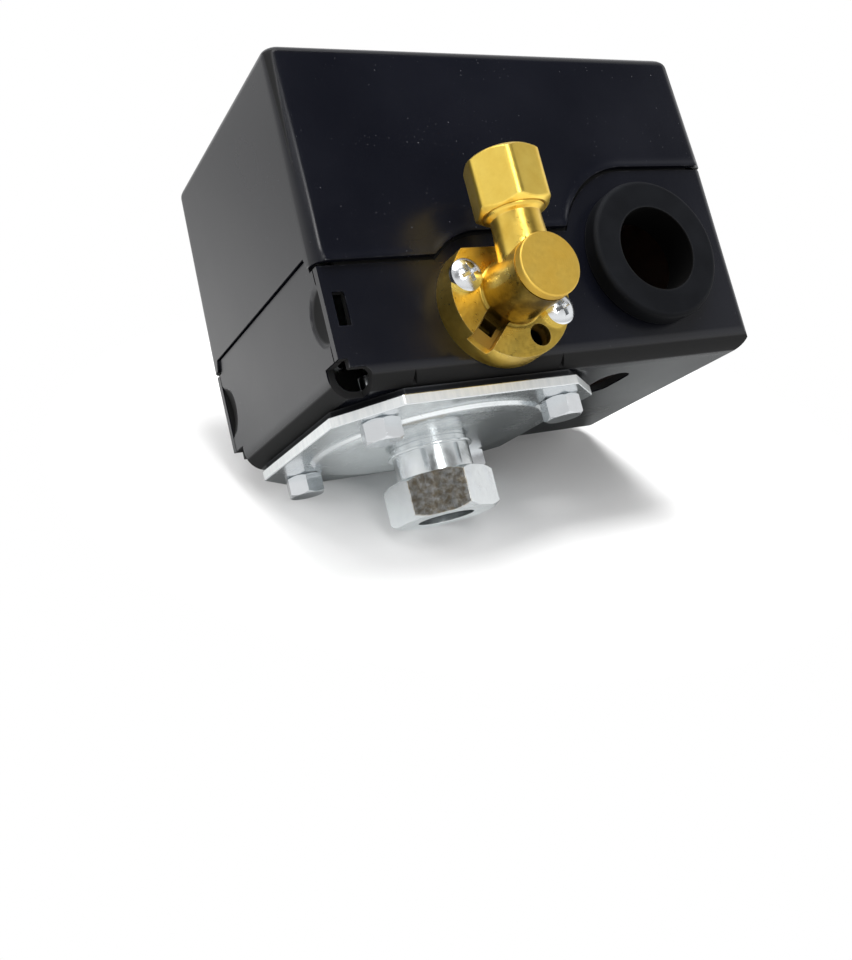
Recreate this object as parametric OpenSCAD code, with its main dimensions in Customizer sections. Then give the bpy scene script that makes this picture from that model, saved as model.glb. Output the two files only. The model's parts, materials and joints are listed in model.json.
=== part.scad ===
// Pressure switch for an air compressor: a sheet steel box on a four-screw diaphragm
// flange, with a brass unloader valve, cable grommets and a contact set inside.
// Millimetres, +Z up, front wall towards -Y. The origin is on the pressure port's axis,
// at the lower face of the hex bushing. The modules are written in the box's own frame,
// whose zero is the base's front, left, lower corner, and in_port_frame() moves them.

/* [Housing] */
// Width of the base, left to right
box_w = 92; // [90:0.5:96]
// Depth of the base, front to back
box_d = 58.4; // [57:0.2:62]
// Height from the base's underside to the cover's top
box_h = 64.8; // [64.5:0.1:70]
// Thickness of the base's steel sheet
sheet_t = 1.5; // [1.2:0.1:1.6]
// Outer radius of the base's bottom bends
bend_r = 4.5; // [3:0.5:5]
// Thickness of the cover's steel sheet
cover_t = 1; // [0.8:0.1:1]
// How far the cover stands proud of the base's front and back walls
cover_proud = 1.25; // [1.15:0.05:1.5]
// Radius of the cover's outer edges
cover_r = 2.3; // [2:0.1:4]
// Height of the cover's lower edge at the front left
seam_low = 23; // [22:0.5:24]
// Height of the cover's lower edge between the valve and the grommet
seam_mid = 27.3; // [26.5:0.1:28]
// Height of the cover's lower edge on the left side
seam_side = 25.5; // [25:0.5:27]
// Height of the cover's lower edge over the grommet and on the right side
seam_high = 39.4; // [38:0.2:41]

/* [Grommets] */
// Distance of the grommet's axis from the left side
grommet_x = 70.7; // [70:0.1:72]
// Height of the grommet's axis
grommet_z = 20.6; // [20:0.1:21]
// Outer radius of the grommet's rim
grommet_r = 14.3; // [13.5:0.1:15]
// Radius of the cable hole
grommet_hole_r = 8.45; // [7.5:0.05:9]
// How far the grommet stands out of the wall
grommet_proud = 3.8; // [3:0.1:4.5]

/* [Diaphragm flange] */
// Side of the square flange
flange_w = 56.5; // [54:0.5:58]
// Thickness of the flange plate
flange_t = 2; // [1.8:0.1:2.4]
// Leg of the flange's cut corners
flange_cut = 10; // [8:0.5:12]
// Thickness of the rubber diaphragm under the base
diaphragm_t = 1.2; // [1:0.1:1.5]
// Distance of the flange screws from the port's axis, along X and Y
flange_screw_at = 19.4; // [19:0.1:20]
// Depth of the port bushing below the base
port_drop = 19.5; // [19:0.1:21]
// Width across the flats of the port bushing
port_hex = 19; // [18:0.1:22]
// Radius of the port's tapped hole (quarter inch pipe thread)
port_r = 5.6; // [5.5:0.05:5.7]

/* [Unloader valve] */
// Distance of the valve's axis from the left side
valve_x = 33.35; // [33:0.05:34]
// Height of the valve's axis
valve_z = 12.9; // [12.7:0.1:13]
// Radius of the valve's mounting disc
valve_disc_r = 12; // [11.5:0.1:12.5]
// Thickness of the mounting disc
valve_disc_t = 5.75; // [5:0.05:6]
// How far the valve's end stands out of the front wall
valve_reach = 18.9; // [18:0.1:20]
// Distance of the outlet's axis from the front wall
outlet_y = 12.6; // [12:0.1:13]
// Width across the flats of the compression nut
nut_hex = 12.7; // [12.7:0.1:13]

/* [Motion] */
// Angle that the lever lifts when the switch trips, degrees
lever_lift = 2.5; // [1:0.1:2.5]

/* [Hidden] */
$fn = 64;
gap = 0.15;        // gap that keeps separate pieces from touching
past = 1;          // how far a cutting shape runs past what it cuts
steel_black = [0.11, 0.11, 0.13];
zinc = [0.78, 0.80, 0.82];
brass = [0.80, 0.62, 0.27];
spring_grey = [0.45, 0.46, 0.48];
moulding = [0.30, 0.20, 0.14];
rubber = [0.07, 0.07, 0.07];
copper = [0.78, 0.48, 0.30];

// The port's axis in the box's frame
port_x = 29.2;
port_y = 29.2;
module in_port_frame() translate([-port_x, -port_y, port_drop]) children();

// ---- helpers -----------------------------------------------------------------------

// A 2D shape in X and Z, extruded along Y from y0 to y1
module along_y(y0, y1) translate([0, y1, 0]) rotate([90, 0, 0]) linear_extrude(y1 - y0) children();
// A 2D shape in Y and Z, extruded along X from x0 to x1
module along_x(x0, x1) translate([x0, 0, 0]) rotate([90, 0, 90]) linear_extrude(x1 - x0) children();
// A round rod from one corner coordinate to another along one axis
module rod_z(x, y, z0, z1, r) translate([x, y, z0]) cylinder(r = r, h = z1 - z0);
module rod_y(x, z, y0, y1, r) translate([x, y0, z]) rotate([-90, 0, 0]) cylinder(r = r, h = y1 - y0);
module rod_x(y, z, x0, x1, r) translate([x0, y, z]) rotate([0, 90, 0]) cylinder(r = r, h = x1 - x0);
// A block between two corners
module block(a, b) translate(a) cube(b - a);
// A hexagonal prism with a corner towards +X before it is turned
module hex(af, h, turn = 0) rotate(turn) cylinder(r = af / 2 / cos(30), h = h, $fn = 6);
// A hexagon with both ends chamfered, as on a turned nut
module nut_form(af, h, turn = 0, chamfer = 0.8) {
  clear_r = af / 2 / cos(30) + 0.1;
  end_r = clear_r - 0.1 - chamfer * 1.3;
  intersection() {
    hex(af, h, turn);
    rotate_extrude() polygon([
      [0, 0], [end_r, 0], [clear_r, chamfer], [clear_r, h - chamfer], [end_r, h], [0, h]
    ]);
  }
}
// A rectangle w by h whose two lower corners are round
module tray_outline(w, h, r) {
  translate([0, r]) square([w, h - r]);
  translate([r, 0]) square([w - 2 * r, 2 * r]);
  for (x = [r, w - r]) translate([x, r]) circle(r);
}
// A slot with round ends, centred, with its length along X
module oblong(length, width) {
  square([length - width, width], center = true);
  for (s = [-1, 1]) translate([s * (length - width) / 2, 0]) circle(width / 2);
}
// A rectangle w by h from the origin whose far corner is round
module round_corner(w, h, r) {
  square([w - r, h]);
  square([w, h - r]);
  translate([w - r, h - r]) circle(r);
}
// A coil spring from z = 0 to z = height, standing on the origin
module coil(mean_r, wire_r, height, turns, sides = 8, per_turn = 18) {
  steps = turns * per_turn;
  rise = height - 2 * wire_r;
  rings = [for (i = [0:steps]) let (a = 360 * i / per_turn, z = wire_r + rise * i / steps)
    for (k = [0:sides - 1]) let (b = 360 * k / sides, r = mean_r + wire_r * cos(b))
      [r * cos(a), r * sin(a), z + wire_r * sin(b)]];
  walls = [for (i = [0:steps - 1]) for (k = [0:sides - 1]) let (k2 = (k + 1) % sides)
    [i * sides + k, i * sides + k2, (i + 1) * sides + k2, (i + 1) * sides + k]];
  first_end = [for (k = [sides - 1:-1:0]) k];
  last_end = [for (k = [0:sides - 1]) steps * sides + k];
  polyhedron(rings, concat([first_end], walls, [last_end]), convexity = 10);
}
// A pan head screw pointing down, its head's seat at z = 0, with a cross recess
module pan_screw(head_r, head_h, shank_r, length) {
  recess_w = head_r * 0.26;
  difference() {
    intersection() {
      cylinder(r = head_r, h = head_h);
      translate([0, 0, head_h - head_r * 1.45]) sphere(r = head_r * 1.45);
    }
    for (a = [45, 135]) rotate(a)
      translate([-head_r * 0.55, -recess_w / 2, head_h * 0.4]) cube([head_r * 1.1, recess_w, head_h]);
  }
  translate([0, 0, -length]) cylinder(r = shank_r, h = length + head_h * 0.3);
}

// ---- housing -----------------------------------------------------------------------

// The cover leans in towards its top; bottom and top give the outer faces' insets
cover_low = seam_low - 2;
cover_side_low = -0.6;
cover_side_top = 0.1;
cover_front_top = 0.2;
cover_screw_at = [42, port_y];
cover_screw_r = 2;
// How far in from the base's side a lip must stand to pass inside the cover at height z
function cover_in(z) = cover_t + gap + cover_side_low
  + (cover_side_top - cover_side_low) * (z - cover_low) / (box_h - cover_r - cover_low);

tuck_h = 5;             // the side lips tucked inside the cover, and their lower ends
tuck_left = seam_side - 3;
tuck_right = seam_high - 3;
wall_top = seam_high + 2;
lip = 1.5;              // how far the base's walls run up inside the cover
lip_in = 0.8;           // how far that lip is set back
lip_end = cover_r + 1.5; // where that lip ends, from the side walls
seam_gap = 0.6;         // how far the base's outer skin stays below the cover's edge
valve_arc_r = seam_mid - valve_z;
grommet_arc_r = seam_high - grommet_z;
panel_hole_r = 11.2;    // knockout that the grommet's neck sits in
piston_hole_r = 12.6;
hub_hole_r = 4.7;
valve_screw_r = 9.45;    // distance of the valve's screws from its axis
valve_screw_angles = [157, -24];
screw_shank_r = 1.5;
flange_shank_r = 2;
flange_screw_xy = [for (sx = [-1, 1]) for (sy = [-1, 1])
  [port_x + sx * flange_screw_at, port_y + sy * flange_screw_at]];

// The front wall's outline, grown upwards by g from the cover's lower edge
module seam_outline(g) {
  far = box_w + 20;
  translate([-20, -20]) square([20 + valve_x, 20 + seam_low + g]);
  translate([valve_x, valve_z]) circle(valve_arc_r + g);
  translate([valve_x, -20]) square([far - valve_x, 20 + seam_mid + g]);
  translate([grommet_x, grommet_z]) circle(grommet_arc_r + g);
  translate([grommet_x, -20]) square([far - grommet_x, 20 + seam_high + g]);
}

// The tray with its round bends, shrunk by t on every side
module tray_solid(t) {
  r = bend_r - t;
  side_r = 2.2 - t;
  intersection() {
    along_y(t, box_d - t) translate([t, t]) tray_outline(box_w - 2 * t, wall_top, r);
    along_x(t, box_w - t) translate([t, t]) tray_outline(box_d - 2 * t, wall_top, r);
    linear_extrude(wall_top + past) {
      translate([t, t]) square([box_w - 2 * t - side_r, box_d - 2 * t]);
      translate([t, t + side_r]) square([box_w - 2 * t, box_d - 2 * t - 2 * side_r]);
      for (y = [t + side_r, box_d - t - side_r]) translate([box_w - t - side_r, y]) circle(side_r);
    }
  }
}

zone = 3;               // depth of the strip in which one wall's top is trimmed
// What is kept of the tray's walls
module wall_keep() {
  block([-past, -past, -past], [box_w + past, box_d + past, 15]);
  along_y(-past, zone) seam_outline(lip);
  along_y(box_d - zone, box_d + past) seam_outline(lip);
  block([-past, zone, -past], [zone, box_d - zone, seam_side - seam_gap]);
  block([box_w - zone, zone, -past], [box_w + past, box_d - zone, seam_high - seam_gap]);
}
// All that stands above the cover's lower edge, between two X and two Y values
module above_seam(x, y) difference() {
  block([x[0], y[0], 0], [x[1], y[1], wall_top + past]);
  along_y(y[0] - past, y[1] + past) seam_outline(-seam_gap);
}

notch_w = 5.8;          // corner reliefs at the left side's two lower corners
notch_front_h = 4.2;
notch_side_h = 5.8;
notch_r = 1.4;
dish_r = 5.8;           // the left wall's pressed recesses at its two ends
dish_depth = 1.2;
dish_z = 14.2;
dish_ball_r = (dish_r * dish_r + dish_depth * dish_depth) / 2 / dish_depth;
slit = 0.35;            // open seam between the left wall and its neighbours
slot_x = 2.9;           // small upright slot in the front wall
slot_z = 14.6;
slot_w = 2.3;
slot_h = 6.1;
tick_xs = [14.2, 45.4]; // small nicks in the front bend
floor_slot = [64.5, 15.5];

module corner_relief(y, s) {
  near = min(y, y - s * notch_w);
  block([-past, near, -past], [sheet_t + slit, near + notch_w, notch_side_h]);
  along_y(near, near + notch_w) translate([-past, -past])
    round_corner(notch_w + past, notch_front_h + past, notch_r);
  block([-past, s < 0 ? y + sheet_t : y - sheet_t - slit, notch_front_h],
        [sheet_t, s < 0 ? y + sheet_t + slit : y - sheet_t, wall_top]);
}

module base_housing() color(steel_black) in_port_frame() {
  difference() {
    intersection() {
      difference() {
        tray_solid(0);
        difference() {
          tray_solid(sheet_t);
          // the two lips tucked inside the cover at the left and right
          block([0, 6, tuck_left], [sheet_t + cover_in(tuck_left + tuck_h), box_d - 6, wall_top]);
          block([box_w - sheet_t - cover_in(tuck_right + tuck_h), 6, tuck_right],
                [box_w, box_d - 6, wall_top]);
        }
      }
      union() {
        wall_keep();
        block([cover_in(tuck_left + tuck_h), 6, tuck_left], [zone, box_d - 6, tuck_left + tuck_h]);
        block([box_w - zone, 6, tuck_right],
              [box_w - cover_in(tuck_right + tuck_h), box_d - 6, tuck_right + tuck_h]);
      }
    }
    // the lip is set back to pass inside the cover, and stops short of its round corners
    above_seam([-past, box_w + past], [-past, lip_in]);
    above_seam([-past, box_w + past], [box_d - lip_in, box_d + past]);
    for (x = [[-past, lip_end], [box_w - lip_end, box_w + past]])
      for (y = [[-past, zone], [box_d - zone, box_d + past]]) above_seam(x, y);
    corner_relief(0, -1);
    corner_relief(box_d, 1);
    // the dishes are only in the left wall, whose neighbours stay straight
    intersection() {
      for (y = [sheet_t, box_d - sheet_t])
        translate([dish_depth - dish_ball_r, y, dish_z]) sphere(dish_ball_r);
      block([-past, sheet_t, 0], [box_w / 2, box_d - sheet_t, wall_top]);
    }
    along_y(-past, sheet_t + past) translate([slot_x - slot_w / 2, slot_z - slot_h / 2])
      round_corner(slot_w, slot_h, 0.4);
    for (x = tick_xs) along_y(-past, 2.2) polygon([[x - 0.9, -past], [x + 0.9, -past], [x, 2.9]]);
    for (y = [-past, box_d - zone]) rod_y(grommet_x, grommet_z, y, y + zone + past, panel_hole_r);
    rod_y(valve_x, valve_z, -past, sheet_t + past, hub_hole_r);
    for (a = valve_screw_angles)
      rod_y(valve_x + valve_screw_r * cos(a), valve_z + valve_screw_r * sin(a),
            -past, sheet_t + past, screw_shank_r + 0.1);
    rod_z(port_x, port_y, -past, sheet_t + past, piston_hole_r);
    for (p = flange_screw_xy) rod_z(p.x, p.y, -past, sheet_t + past, flange_shank_r + 0.2);
    translate([floor_slot.x, floor_slot.y, -past]) linear_extrude(sheet_t + 2 * past)
      rotate(90) oblong(13, 7);
    // the right wall's rounded shoulder under the cover
    translate([box_w - 1.3, -past, seam_high - seam_gap - 1.3]) difference() {
      cube([3, box_d + 2 * past, 3]);
      rotate([-90, 0, 0]) cylinder(r = 1.3, h = box_d + 2 * past);
      translate([-past, 0, -past]) cube([past, box_d + 2 * past, 3 * past + 3]);
    }
  }
}

module cover_form(t) {
  r = cover_r - t;
  low = cover_r;
  hull() {
    for (x = [cover_side_low + low, box_w - cover_side_low - low])
      for (y = [-cover_proud + low, box_d + cover_proud - low])
        translate([x, y, cover_low - t]) cylinder(r = r, h = 1, $fn = 32);
    for (x = [cover_side_top + low, box_w - cover_side_top - low])
      for (y = [cover_front_top + low, box_d - cover_front_top - low])
        translate([x, y, box_h - low]) sphere(r = r, $fn = 32);
  }
}
module cover() color(steel_black) in_port_frame() difference() {
  cover_form(0);
  cover_form(cover_t);
  along_y(-5, box_d + 5) seam_outline(0);
  block([-5, 3, 0], [5, box_d - 3, seam_side]);
  rod_z(cover_screw_at.x, cover_screw_at.y, box_h - 5, box_h + 1, cover_screw_r + 0.3);
}

cover_screw_head_r = 4.5;
cover_screw_head_h = 2.8;
post_top = box_h - cover_t - 0.1;
module cover_screw() color(zinc) in_port_frame() {
  translate([cover_screw_at.x, cover_screw_at.y, box_h]) difference() {
    union() {
      cylinder(r = cover_screw_head_r, h = cover_screw_head_h * 0.6);
      translate([0, 0, cover_screw_head_h * 0.6])
        cylinder(r1 = cover_screw_head_r, r2 = cover_screw_head_r - 1, h = cover_screw_head_h * 0.4);
    }
    translate([-10, -0.6, cover_screw_head_h - 1]) cube([20, 1.2, 2]);
  }
  rod_z(cover_screw_at.x, cover_screw_at.y, box_h - 10, box_h, cover_screw_r);
}

// ---- grommets ----------------------------------------------------------------------

module grommet_form() rotate_extrude() {
  edge = 0.9;
  inner_t = 2.4;
  difference() {
    union() {
      translate([0, 0]) square([grommet_r, grommet_proud - edge]);
      square([grommet_r - edge, grommet_proud]);
      translate([grommet_r - edge, grommet_proud - edge]) circle(edge);
      translate([0, -sheet_t]) square([panel_hole_r - 0.05, sheet_t]);
      translate([0, -sheet_t - inner_t]) square([13.2, inner_t]);
    }
    translate([-past, -10]) square([past + grommet_hole_r, 20]);
  }
}
module grommet_front() color(rubber) in_port_frame()
  translate([grommet_x, 0, grommet_z]) rotate([90, 0, 0]) grommet_form();
module grommet_rear() color(rubber) in_port_frame()
  translate([grommet_x, box_d, grommet_z]) rotate([-90, 0, 0]) grommet_form();

// ---- diaphragm and port ------------------------------------------------------------

flange_z = -diaphragm_t - flange_t;   // the flange's lower face
dome_r = 23.5;
dome_drop = 1.3;
collar_r = 7.7;
collar_rim_r = 8.5;
collar_rim_z = -5.6;
hex_top = -11.3;

module cut_square(w, c) {
  h = w / 2;
  polygon([[c - h, -h], [h - c, -h], [h, c - h], [h, h - c],
           [h - c, h], [c - h, h], [-h, h - c], [-h, c - h]]);
}
module diaphragm() color(rubber) in_port_frame() difference() {
  translate([port_x, port_y, -diaphragm_t]) linear_extrude(diaphragm_t)
    cut_square(flange_w - 1.6, flange_cut);
  for (p = flange_screw_xy) rod_z(p.x, p.y, -diaphragm_t - past, past, flange_shank_r + 0.2);
}
module diaphragm_flange() color(zinc) in_port_frame() difference() {
  translate([port_x, port_y, 0]) {
    difference() {
      translate([0, 0, flange_z]) linear_extrude(flange_t) cut_square(flange_w, flange_cut);
      translate([0, 0, flange_z - past]) cylinder(r = dome_r - 1, h = flange_t + 2 * past);
    }
    rotate_extrude() polygon([
      [collar_r, flange_z - dome_drop], [dome_r - 3, flange_z - dome_drop],
      [dome_r - 0.6, flange_z - 0.8], [dome_r, flange_z], [dome_r, flange_z + flange_t],
      [dome_r - 2, flange_z + flange_t], [dome_r - 4, flange_z + flange_t - dome_drop],
      [collar_r, flange_z + flange_t - dome_drop]
    ]);
  }
  for (p = flange_screw_xy) rod_z(p.x, p.y, flange_z - past, past, flange_shank_r + 0.2);
}
module port_bushing() color(zinc) in_port_frame() translate([port_x, port_y, 0]) difference() {
  union() {
    translate([0, 0, hex_top - 0.1]) cylinder(r = collar_r, h = flange_z + flange_t - dome_drop - hex_top);
    translate([0, 0, collar_rim_z - 0.5]) cylinder(r = collar_rim_r, h = 0.5);
    translate([0, 0, -port_drop]) nut_form(port_hex, port_drop + hex_top, turn = 30, chamfer = 0.9);
  }
  translate([0, 0, -port_drop - past]) cylinder(r = port_r, h = 12 + past);
  translate([0, 0, -port_drop]) cylinder(r = 3, h = port_drop);
}
module flange_screws() color(zinc) in_port_frame() for (p = flange_screw_xy) translate([p.x, p.y, flange_z]) {
  head_h = 4.1;
  translate([0, 0, -head_h]) nut_form(6.8, head_h, turn = 15, chamfer = 0.5);
  translate([0, 0, -1]) cylinder(r = flange_shank_r, h = -flange_z + 6);
}
piston_disc_r = 12.2;
piston_disc_top = 2.6;
piston_stem_r = 4.5;
tip_ball_r = 15;
lever_under = 13;
module piston() color(zinc) in_port_frame() {
  rod_z(port_x, port_y, 0, piston_disc_top, piston_disc_r);
  // the stem's domed tip rolls on the lever
  translate([port_x, port_y, piston_disc_top - 0.5]) intersection() {
    cylinder(r = piston_stem_r, h = lever_under - piston_disc_top);
    translate([0, 0, lever_under - 0.02 - piston_disc_top + 0.5 - tip_ball_r]) sphere(tip_ball_r);
  }
}

// ---- frame, lever and adjusters ----------------------------------------------------

frame_t = 1.5;
frame_floor = sheet_t + frame_t;
bridge_z = 48;
bridge_t = 2;
wall_ys = [14.5, 42.4];
pivot_x = 9;
pivot_z = 10.5;
pivot_r = 1.5;
tab_ys = [17.5, 39.4];
lever_y0 = 20;
lever_y1 = 38.4;
lever_t = 2;
lever_top = lever_under + lever_t;
lever_arm_z = 29.5;
lever_arm_t = 1.5;
lever_web_x = 58.5;
diff_x = 53;
range_screw_shank_r = 4;
diff_screw_shank_r = 2.5;
pivot_play = 0.05;
rocker_x0 = 31.85;
rocker_w = 3;
rocker_y = 11;
rocker_z = 7;
rocker_pin_r = 1;
ear_t = 1.5;
ear_xs = [rocker_x0 - 0.5 - ear_t, rocker_x0 + rocker_w + 0.5];
snap_post_x = 44;

module frame_bracket() color(zinc) in_port_frame() difference() {
  union() {
    difference() {
      union() {
        block([8, 6, sheet_t], [56, box_d - 6, frame_floor]);
        block([4.8, 14, sheet_t], [9, box_d - 14, frame_floor]);
      }
      rod_z(port_x, port_y, 0, frame_floor + past, piston_hole_r);
    }
    for (y = wall_ys) block([20, y, frame_floor - 0.5], [38, y + frame_t, bridge_z + 0.5]);
    block([18, wall_ys[0], bridge_z], [59, wall_ys[1] + frame_t, bridge_z + bridge_t]);
    for (y = tab_ys) block([5, y, frame_floor - 0.5], [13, y + frame_t, 14]);
    for (x = ear_xs) block([x, 8.5, frame_floor - 0.5], [x + ear_t, 13.5, 10]);
    block([snap_post_x, 24, frame_floor - 0.5], [snap_post_x + frame_t, 34.4, 8.5]);
  }
  block([ear_xs[0] + 0.5, wall_ys[0] - past, 14], [ear_xs[1] + 1, wall_ys[0] + frame_t + past, 19]);
  for (p = flange_screw_xy) rod_z(p.x, p.y, 0, frame_floor + past, flange_shank_r + 0.05);
  rod_y(pivot_x, pivot_z, tab_ys[0] - past, tab_ys[1] + frame_t + past, pivot_r + pivot_play);
  rod_x(rocker_y, rocker_z, ear_xs[0] - past, ear_xs[1] + ear_t + past, rocker_pin_r + pivot_play);
  rod_z(port_x, port_y, bridge_z - past, bridge_z + bridge_t + past, range_screw_shank_r + pivot_play);
  rod_z(diff_x, port_y, bridge_z - past, bridge_z + bridge_t + past, diff_screw_shank_r + pivot_play);
  rod_z(cover_screw_at.x, cover_screw_at.y, bridge_z - past, bridge_z + bridge_t + past,
        cover_screw_r + pivot_play);
}
module cover_post() color(zinc) in_port_frame() difference() {
  union() {
    translate([cover_screw_at.x, cover_screw_at.y, bridge_z + bridge_t])
      hex(7, post_top - bridge_z - bridge_t);
    rod_z(cover_screw_at.x, cover_screw_at.y, bridge_z, bridge_z + bridge_t + past, cover_screw_r);
  }
  rod_z(cover_screw_at.x, cover_screw_at.y, box_h - 11, box_h, cover_screw_r + pivot_play);
}
module lever() color(zinc) in_port_frame() difference() {
  union() {
    block([5.5, lever_y0, lever_under], [lever_web_x + 1.5, lever_y1, lever_top]);
    for (y = [lever_y0, lever_y1 - 1.5])
      block([5.5, y, pivot_z - 3], [14, y + 1.5, lever_under + 0.5]);
    block([lever_web_x, 22, lever_under], [lever_web_x + 1.5, 36.4, lever_arm_z + lever_arm_t]);
    block([lever_web_x, 22, lever_arm_z], [78, 36.4, lever_arm_z + lever_arm_t]);
    block([56.5, 26, lever_under - 2.5], [58, 32.4, lever_under + 0.5]);
  }
  rod_y(pivot_x, pivot_z, lever_y0 - past, lever_y1 + past, pivot_r + pivot_play);
}
module lever_pin() color(spring_grey) in_port_frame()
  rod_y(pivot_x, pivot_z, tab_ys[0] - 0.8, tab_ys[1] + frame_t + 0.8, pivot_r);

// A bowed strip between two points, rising by sag at its middle
function bow(a, b, sag, n) = [for (i = [0:n]) let (s = i / n)
  a + (b - a) * s + [0, 4 * sag * s * (1 - s)]];
module snap_spring() color(spring_grey) in_port_frame() {
  strip_t = 0.4;
  path = bow([snap_post_x + frame_t + 0.05, 7.2], [56.4, 11], 1.2, 16);
  lower = [for (i = [len(path) - 1:-1:0]) path[i] - [0, strip_t]];
  along_y(25.5, 33) polygon(concat(path, lower));
}

seat_z = 40;
module range_spring() color(spring_grey) in_port_frame()
  translate([port_x, port_y, lever_top]) coil(6.2, 0.9, seat_z - lever_top, 7);
module range_seat() color(zinc) in_port_frame() translate([port_x, port_y, seat_z]) {
  cylinder(r = 8, h = 1.5);
  translate([0, 0, 1]) cylinder(r1 = 6, r2 = 4.5, h = 2);
}
module range_screw() color(zinc) in_port_frame() difference() {
  union() {
    rod_z(port_x, port_y, seat_z + 3, 53.2, range_screw_shank_r);
    translate([port_x, port_y, 53]) nut_form(13, 5, chamfer = 0.7);
  }
  block([port_x - 10, port_y - 0.8, 56.5], [port_x + 10, port_y + 0.8, 60]);
}
module differential_spring() color(spring_grey) in_port_frame()
  translate([diff_x, port_y, lever_top]) coil(3.4, 0.5, seat_z - lever_top, 11, 8, 16);
module differential_seat() color(zinc) in_port_frame() rod_z(diff_x, port_y, seat_z, seat_z + 2, 4.6);
module differential_screw() color(zinc) in_port_frame() difference() {
  union() {
    rod_z(diff_x, port_y, seat_z + 2, 53.2, diff_screw_shank_r);
    translate([diff_x, port_y, 53]) nut_form(8, 4, chamfer = 0.5);
  }
  block([diff_x - 10, port_y - 0.6, 56], [diff_x + 10, port_y + 0.6, 60]);
}

// ---- contacts ----------------------------------------------------------------------

block_x0 = 62;
block_x1 = 89;
block_y0 = 8;
block_y1 = 50.4;
block_z0 = 35;
block_z1 = 45;
pole_ys = [14, 44.4];
carrier_x = 74;
strip_t = 1;
tip_r = 1.2;
tip_xs = [carrier_x - 3.8, carrier_x + 3.8];
terminal_xs = [65.5, 84];
meet_z = 47.5;          // height at which fixed and moving tips meet
bar_z = 48.3;
bar_t = 1;
arm_z = 50.5;
block_screw_xy = [[82.8, 16], [82.8, 42.4]];
block_screw_r = 1.2;
foot_t = 3;
ground_xy = [[74, 12], [74, 46]];

module contact_block() color(moulding) in_port_frame() difference() {
  union() {
    block([block_x0, block_y0, block_z0], [block_x1, block_y1, block_z1]);
    block([block_x1 - 3.5, 10, sheet_t + foot_t - 0.1], [block_x1, 48.4, block_z0 + 1]);
    block([80, 10, sheet_t], [block_x1 - 1.7, 48.4, sheet_t + foot_t]);
    for (y = [20.6, 35.8]) for (x = [[block_x0, 70], [78, block_x1]])
      block([x[0], y, block_z1 - 1], [x[1], y + 2, block_z1 + 5]);
  }
  block([carrier_x - 3.4, 25.6, block_z0 - past], [carrier_x + 3.4, 32.8, block_z1 + past]);
  for (x = terminal_xs) for (y = pole_ys) rod_z(x, y, block_z1 - 7, block_z1 + past, 1.8);
  for (p = block_screw_xy) rod_z(p.x, p.y, 0, sheet_t + foot_t + past, block_screw_r + 0.1);
}
module block_screws() color(zinc) in_port_frame()
  for (p = block_screw_xy) translate([p.x, p.y, sheet_t + foot_t]) pan_screw(2.3, 1.9, block_screw_r, foot_t);
module fixed_contacts() color(copper) in_port_frame() for (y = pole_ys) for (i = [0, 1]) {
  x0 = [block_x0 + 0.6, carrier_x + 2.2][i];
  x1 = [carrier_x - 2.2, block_x1 - 0.6][i];
  difference() {
    block([x0, y - 3.4, block_z1], [x1, y + 3.4, block_z1 + strip_t]);
    rod_z(terminal_xs[i], y, block_z1 - past, block_z1 + strip_t + past, 1.8);
  }
  rod_z(tip_xs[i], y, block_z1 + strip_t - 0.3, meet_z, tip_r);
}
module terminal_clamps() color(zinc) in_port_frame() for (x = terminal_xs) for (y = pole_ys) difference() {
  block([x - 3.3, y - 3.3, block_z1 + strip_t], [x + 3.3, y + 3.3, block_z1 + strip_t + 1]);
  rod_z(x, y, block_z1, block_z1 + 4, 1.8);
}
module terminal_screws() color(brass) in_port_frame()
  for (x = terminal_xs) for (y = pole_ys)
    translate([x, y, block_z1 + strip_t + 1]) pan_screw(3, 2.4, 1.75, 7);
module contact_carrier() color(moulding) in_port_frame() difference() {
  half = 1.6;
  union() {
    block([carrier_x - 3, 26.2, lever_arm_z + lever_arm_t + 0.02], [carrier_x + 3, 32.2, arm_z + 1]);
    block([carrier_x - half, pole_ys[0] - 4, arm_z], [carrier_x + half, pole_ys[1] + 4, arm_z + 4]);
    for (y = pole_ys) block([carrier_x - half, y - 4, meet_z - 0.8], [carrier_x + half, y + 4, arm_z + 1]);
  }
  for (y = pole_ys) block([carrier_x - 5, y - 2.6, bar_z], [carrier_x + 5, y + 2.6, arm_z + 2.5]);
}
module moving_contacts() color(copper) in_port_frame() for (y = pole_ys) {
  block([carrier_x - 5.2, y - 2.3, bar_z], [carrier_x + 5.2, y + 2.3, bar_z + bar_t]);
  for (x = tip_xs) rod_z(x, y, meet_z, bar_z + 0.3, tip_r);
}
module contact_springs() color(spring_grey) in_port_frame()
  for (y = pole_ys) translate([carrier_x, y, bar_z + bar_t])
    coil(1.2, 0.22, arm_z + 2.5 - bar_z - bar_t, 5, 6, 12);
module ground_screws() color([0.25, 0.45, 0.25]) in_port_frame()
  for (p = ground_xy) translate([p.x, p.y, sheet_t]) pan_screw(3.4, 2.6, 1.75, 0);

// ---- unloader linkage and valve ----------------------------------------------------

rocker_pad_y = 8;
finger_gap = 0.3;
module rocker() color(zinc) in_port_frame() difference() {
  under = lever_top + finger_gap;
  along_x(rocker_x0, rocker_x0 + rocker_w) polygon([
    [9.2, 4.8], [12.8, 4.8], [13.2, under], [23, under], [23, under + 2],
    [rocker_pad_y, under + 2], [rocker_pad_y, 11], [9.2, 9.8]
  ]);
  rod_x(rocker_y, rocker_z, rocker_x0 - past, rocker_x0 + rocker_w + past, rocker_pin_r + pivot_play);
}
module rocker_pin() color(spring_grey) in_port_frame()
  rod_x(rocker_y, rocker_z, ear_xs[0] - 0.6, ear_xs[1] + ear_t + 0.6, rocker_pin_r);

// The valve's own frame: x to the right, y up, z out of the front wall
module at_valve() in_port_frame() translate([valve_x, 0, valve_z]) rotate([90, 0, 0]) children();
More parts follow.
